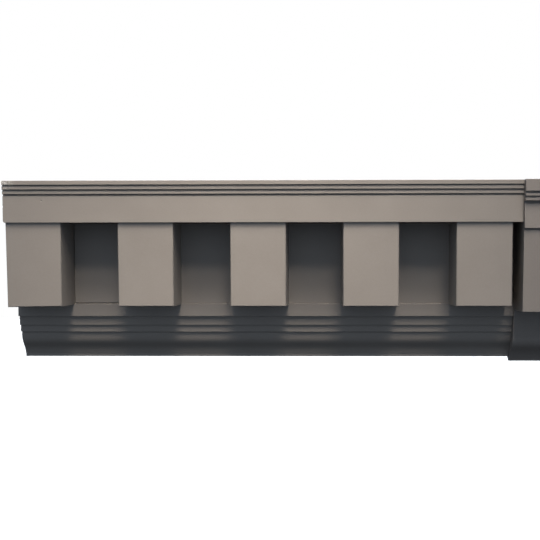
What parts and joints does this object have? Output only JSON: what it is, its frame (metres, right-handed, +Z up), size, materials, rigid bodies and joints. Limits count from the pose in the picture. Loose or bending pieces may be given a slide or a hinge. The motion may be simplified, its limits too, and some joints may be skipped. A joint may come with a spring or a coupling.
{
  "type": "dentil moulding",
  "caption": "Moulded dentil moulding with a reeded crown, plain fascia, recessed panels and stepped foot, lapped by a plain cover block, fixed flat to a wall over an opening.",
  "frame": {"origin": "On the flat back that lies against the wall, half-way up the moulding and half-way along the whole length.", "axes": "+X along the moulding towards the cover block, +Z up, +Y into the wall, so the carved front faces -Y."},
  "size_m": [0.7432, 0.095, 0.2342],
  "materials": {
    "moulding_polymer": "satin",
    "block_polymer": "satin"
  },
  "bodies": {
    "root": {"dentil_moulding": "moulding_polymer", "cover_block": "block_polymer"}
  },
  "joints": []
}
